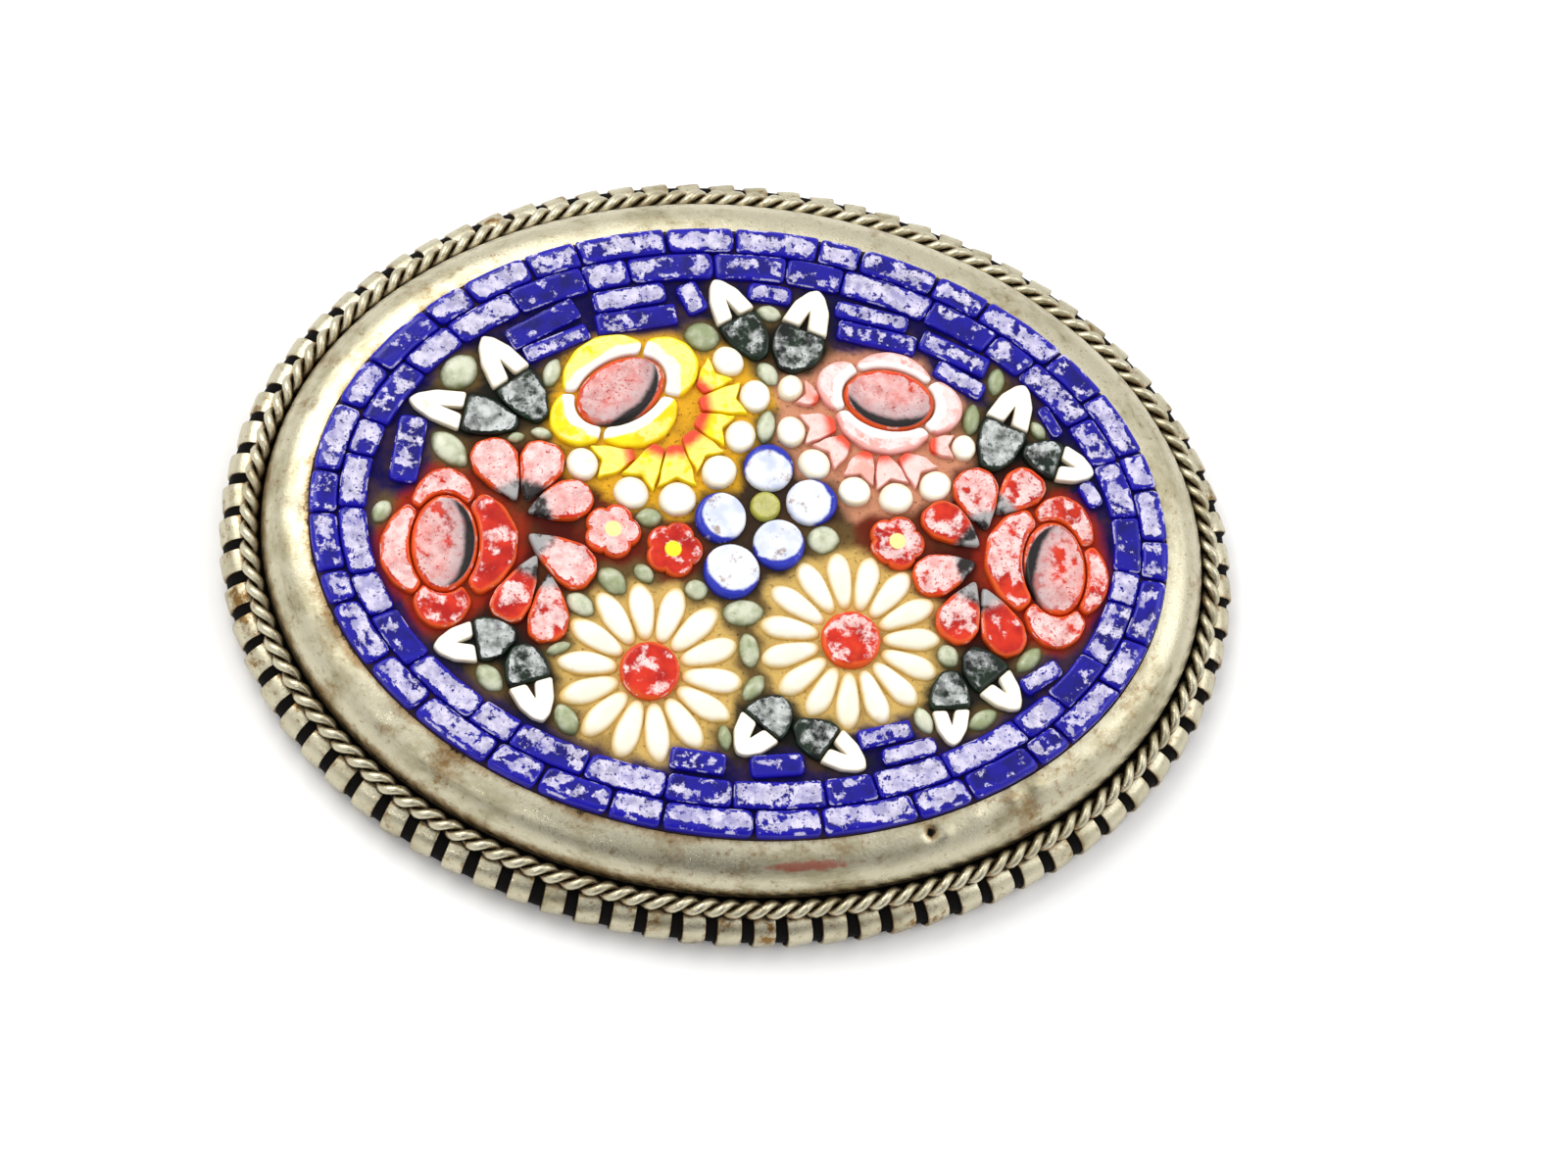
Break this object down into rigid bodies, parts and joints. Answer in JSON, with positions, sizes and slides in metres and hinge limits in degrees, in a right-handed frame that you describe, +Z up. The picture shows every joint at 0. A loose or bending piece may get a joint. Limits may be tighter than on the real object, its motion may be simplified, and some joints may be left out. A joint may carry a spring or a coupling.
{
  "type": "mosaic brooch",
  "caption": "Oval brooch: flowers of coloured glass pieces set in mastic, held by a smooth metal bezel, a twisted rope border and a notched rim, with a pin behind.",
  "frame": {"origin": "under the middle of the oval, on the plane that the rim's foot rests on", "axes": "+X along the oval, +Y across it towards the upper flowers, +Z up out of the mosaic"},
  "size_m": [0.0432, 0.0338, 0.005],
  "materials": {
    "setting_metal": "worn nickel silver, pale champagne, nearly black in the notches and hollows",
    "mastic": "dull ochre mastic",
    "pin_metal": "plain drawn steel wire and strip",
    "cobalt_glass": "opaque cobalt blue glass, ground flat on top with a milky bloom",
    "rose_eye_glass": "opaque red glass with a black crescent and a milky bloom",
    "red_glass": "opaque red glass with an orange edge and a milky bloom",
    "yellow_glass": "opaque yellow glass, white on its inner side",
    "pink_glass": "opaque pink glass, white on its inner side",
    "fan_glass": "opaque red glass, black at the point",
    "fringe_glass": "opaque rose red glass",
    "white_glass": "opaque white glass",
    "ivory_glass": "opaque ivory glass",
    "pale_blue_glass": "opaque white glass with a cobalt edge",
    "olive_glass": "opaque olive yellow glass",
    "dark_green_glass": "opaque blackish green glass with a grey bloom",
    "sage_glass": "slightly clear sage green glass"
  },
  "bodies": {
    "root": {"setting": "setting_metal", "mastic_bed": "mastic", "brooch_pin": "pin_metal", "blue_fillers": "cobalt_glass", "blue_flower_eye": "olive_glass", "blue_flower_petals": "pale_blue_glass", "blue_inner_row": "cobalt_glass", "blue_outer_row": "cobalt_glass", "green_buds": "sage_glass", "leaf_bodies": "dark_green_glass", "leaf_tips": "white_glass", "left_daisy_eye": "red_glass", "left_daisy_petals": "ivory_glass", "left_fan": "fan_glass", "left_rose_eye": "rose_eye_glass", "left_rose_petals": "red_glass", "pink_fringe": "fringe_glass", "pink_fringe_tips": "white_glass", "pink_rose_eye": "rose_eye_glass", "pink_rose_petals": "pink_glass", "red_flowers": "red_glass", "right_daisy_eye": "red_glass", "right_daisy_petals": "ivory_glass", "right_fan": "fan_glass", "right_rose_eye": "rose_eye_glass", "right_rose_petals": "red_glass", "yellow_fringe": "fringe_glass", "yellow_fringe_tips": "white_glass", "yellow_rose_eye": "rose_eye_glass", "yellow_rose_petals": "yellow_glass"}
  },
  "joints": []
}
